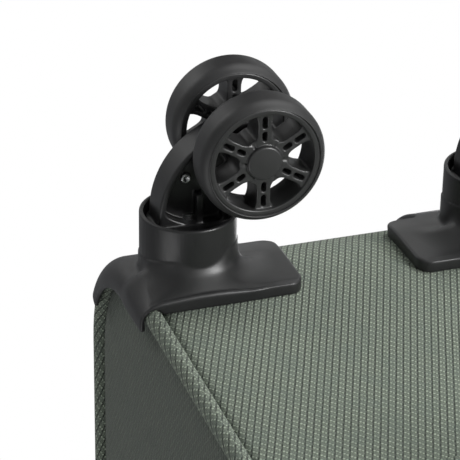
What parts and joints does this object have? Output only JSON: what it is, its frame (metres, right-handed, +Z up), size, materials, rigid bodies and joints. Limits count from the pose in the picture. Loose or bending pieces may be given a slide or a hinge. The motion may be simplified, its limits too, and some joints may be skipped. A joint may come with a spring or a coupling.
{
  "type": "softside upright suitcase",
  "caption": "Soft fabric upright suitcase with a zipped lid, front pockets, telescopic handle, carry handles and twin-wheel swivel casters.",
  "frame": {"origin": "on the floor under the middle of the whole suitcase", "axes": "+Z up, the lid and its pockets face -Y, the back panel faces +Y, +X to the right seen from behind the lid"},
  "size_m": [0.42, 0.228, 0.5498],
  "materials": {
    "shell_fabric": "grey-green two-tone polyester with a fine diamond weave",
    "panel_fabric": "the same grey-green polyester",
    "lining_cloth": "thin grey polyester lining",
    "frame_board": "matt pressed board",
    "zip_tape": "black woven tape with a nylon coil",
    "tube_alloy": "satin anodised",
    "tyre_rubber": "smooth grey-black polyurethane",
    "steel": "zinc plated",
    "zip_metal": "gunmetal lacquer",
    "handle_webbing": "black padded webbing",
    "button_plastic": "grey moulded plastic",
    "moulded_plastic": "fine-grained black moulded plastic"
  },
  "bodies": {
    "case": {"gusset": "shell_fabric", "back_panel": "panel_fabric", "back_piping": "shell_fabric", "back_board": "frame_board", "frame_band": "frame_board", "lining": "lining_cloth", "lining_back_wall": "lining_cloth", "main_zip_case": "zip_tape", "handle_anchors": "moulded_plastic", "bezel": "moulded_plastic", "outer_tubes": "tube_alloy", "housing_screws": "steel", "swivel_pins": "steel", "housing_rear_left": "moulded_plastic", "housing_rear_right": "moulded_plastic", "housing_front_left": "moulded_plastic", "housing_front_right": "moulded_plastic"},
    "lid": {"lid_gusset": "shell_fabric", "front_panel": "shell_fabric", "front_piping": "shell_fabric", "main_zip_lid": "zip_tape", "lower_pocket": "shell_fabric", "upper_pocket": "shell_fabric"},
    "trolley_stage_1": {"middle_tubes": "tube_alloy"},
    "trolley_stage_2": {"inner_tubes": "tube_alloy", "grip": "moulded_plastic"},
    "trolley_button": {"button": "button_plastic"},
    "top_handle": {"top_handle": "handle_webbing"},
    "side_handle": {"side_handle": "handle_webbing"},
    "zip_slider_left": {"zip_slider_left": "zip_metal"},
    "zip_slider_right": {"zip_slider_right": "zip_metal"},
    "lower_pocket_slider": {"lower_pocket_slider": "zip_metal"},
    "upper_pocket_slider": {"upper_pocket_slider": "zip_metal"},
    "fork_rear_left": {"fork_rear_left": "moulded_plastic", "axle_rear_left": "steel"},
    "wheel_rear_left_in": {"tyre_rear_left_in": "tyre_rubber", "rim_rear_left_in": "moulded_plastic"},
    "wheel_rear_left_out": {"tyre_rear_left_out": "tyre_rubber", "rim_rear_left_out": "moulded_plastic"},
    "fork_rear_right": {"fork_rear_right": "moulded_plastic", "axle_rear_right": "steel"},
    "wheel_rear_right_in": {"tyre_rear_right_in": "tyre_rubber", "rim_rear_right_in": "moulded_plastic"},
    "wheel_rear_right_out": {"tyre_rear_right_out": "tyre_rubber", "rim_rear_right_out": "moulded_plastic"},
    "fork_front_left": {"fork_front_left": "moulded_plastic", "axle_front_left": "steel"},
    "wheel_front_left_in": {"tyre_front_left_in": "tyre_rubber", "rim_front_left_in": "moulded_plastic"},
    "wheel_front_left_out": {"tyre_front_left_out": "tyre_rubber", "rim_front_left_out": "moulded_plastic"},
    "fork_front_right": {"fork_front_right": "moulded_plastic", "axle_front_right": "steel"},
    "wheel_front_right_in": {"tyre_front_right_in": "tyre_rubber", "rim_front_right_in": "moulded_plastic"},
    "wheel_front_right_out": {"tyre_front_right_out": "tyre_rubber", "rim_front_right_out": "moulded_plastic"}
  },
  "joints": [
    {"name": "lid_hinge", "type": "hinge", "parent": "case", "child": "lid", "pos_m": [-0.2085, -0.07, 0.3065], "axis": [0, 0, -1], "range_deg": [0, 170]},
    {"name": "trolley_slide_1", "type": "slide", "parent": "case", "child": "trolley_stage_1", "axis": [0, 0, 1], "range_m": [0, 0.24]},
    {"name": "trolley_slide_2", "type": "slide", "parent": "trolley_stage_1", "child": "trolley_stage_2", "axis": [0, 0, 1], "range_m": [0, 0.24]},
    {"name": "trolley_button_press", "type": "slide", "parent": "trolley_stage_2", "child": "trolley_button", "axis": [0, 0, -1], "range_m": [0, 0.003], "stiffness_N_per_m": 400},
    {"name": "top_handle_lift", "type": "slide", "parent": "case", "child": "top_handle", "axis": [0, 0, 1], "range_m": [0, 0.008], "stiffness_N_per_m": 120},
    {"name": "side_handle_lift", "type": "slide", "parent": "case", "child": "side_handle", "axis": [1, 0, 0], "range_m": [0, 0.008], "stiffness_N_per_m": 120},
    {"name": "zip_slider_left_run", "type": "slide", "parent": "case", "child": "zip_slider_left", "axis": [-1, 0, 0], "range_m": [0, 0.235]},
    {"name": "zip_slider_right_run", "type": "slide", "parent": "case", "child": "zip_slider_right", "axis": [1, 0, 0], "range_m": [0, 0.03]},
    {"name": "lower_pocket_slider_run", "type": "slide", "parent": "lid", "child": "lower_pocket_slider", "axis": [-1, 0, 0], "range_m": [0, 0.27]},
    {"name": "upper_pocket_slider_run", "type": "slide", "parent": "lid", "child": "upper_pocket_slider", "axis": [-1, 0, 0], "range_m": [0, 0.27]},
    {"name": "swivel_rear_left", "type": "hinge", "parent": "case", "child": "fork_rear_left", "pos_m": [-0.1566, 0.0865, 0.063], "axis": [0, 0, 1], "continuous": true},
    {"name": "spin_rear_left_in", "type": "hinge", "parent": "fork_rear_left", "child": "wheel_rear_left_in", "pos_m": [-0.1392, 0.0641, 0.025], "axis": [1, 0, 0], "continuous": true},
    {"name": "spin_rear_left_out", "type": "hinge", "parent": "fork_rear_left", "child": "wheel_rear_left_out", "pos_m": [-0.174, 0.0641, 0.025], "axis": [1, 0, 0], "continuous": true},
    {"name": "swivel_rear_right", "type": "hinge", "parent": "case", "child": "fork_rear_right", "pos_m": [0.1406, 0.0865, 0.063], "axis": [0, 0, 1], "continuous": true},
    {"name": "spin_rear_right_in", "type": "hinge", "parent": "fork_rear_right", "child": "wheel_rear_right_in", "pos_m": [0.1232, 0.0641, 0.025], "axis": [1, 0, 0], "continuous": true},
    {"name": "spin_rear_right_out", "type": "hinge", "parent": "fork_rear_right", "child": "wheel_rear_right_out", "pos_m": [0.158, 0.0641, 0.025], "axis": [1, 0, 0], "continuous": true},
    {"name": "swivel_front_left", "type": "hinge", "parent": "case", "child": "fork_front_left", "pos_m": [-0.1566, -0.042, 0.063], "axis": [0, 0, 1], "continuous": true},
    {"name": "spin_front_left_in", "type": "hinge", "parent": "fork_front_left", "child": "wheel_front_left_in", "pos_m": [-0.1392, -0.0644, 0.025], "axis": [1, 0, 0], "continuous": true},
    {"name": "spin_front_left_out", "type": "hinge", "parent": "fork_front_left", "child": "wheel_front_left_out", "pos_m": [-0.174, -0.0644, 0.025], "axis": [1, 0, 0], "continuous": true},
    {"name": "swivel_front_right", "type": "hinge", "parent": "case", "child": "fork_front_right", "pos_m": [0.1406, -0.042, 0.063], "axis": [0, 0, 1], "continuous": true},
    {"name": "spin_front_right_in", "type": "hinge", "parent": "fork_front_right", "child": "wheel_front_right_in", "pos_m": [0.1232, -0.0644, 0.025], "axis": [1, 0, 0], "continuous": true},
    {"name": "spin_front_right_out", "type": "hinge", "parent": "fork_front_right", "child": "wheel_front_right_out", "pos_m": [0.158, -0.0644, 0.025], "axis": [1, 0, 0], "continuous": true}
  ]
}
